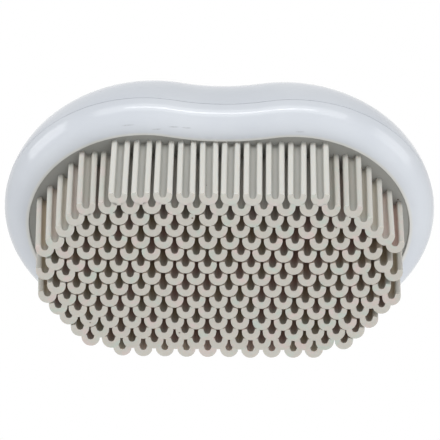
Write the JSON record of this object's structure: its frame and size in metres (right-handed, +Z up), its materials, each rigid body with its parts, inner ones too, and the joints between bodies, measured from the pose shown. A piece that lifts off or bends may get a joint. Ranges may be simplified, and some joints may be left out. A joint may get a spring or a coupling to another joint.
{
  "type": "upholstery brush",
  "caption": "Palm-grip upholstery brush with a glossy two-shell domed bean housing and a dense pad of soft U-channel rubber bristles.",
  "frame": {"origin": "below the middle of the housing, in the plane of the bristle tips", "axes": "+X along the length, +Z up through the domed cover; the waist of the bean outline is on the -Y side"},
  "size_m": [0.131, 0.0903, 0.0586],
  "materials": {
    "cover_plastic": "glossy bluish-white moulded plastic",
    "bezel_plastic": "glossy bluish-white moulded plastic",
    "plate_plastic": "plain moulded plastic, hidden",
    "pad_rubber": "soft warm-grey moulded rubber, satin",
    "screw_steel": "zinc-plated steel, hidden"
  },
  "bodies": {
    "root": {"top_cover": "cover_plastic", "bezel": "bezel_plastic", "backing_plate": "plate_plastic", "bristle_pad": "pad_rubber", "screw_1": "screw_steel", "screw_2": "screw_steel", "screw_3": "screw_steel", "screw_4": "screw_steel", "screw_5": "screw_steel", "screw_6": "screw_steel"}
  },
  "joints": []
}
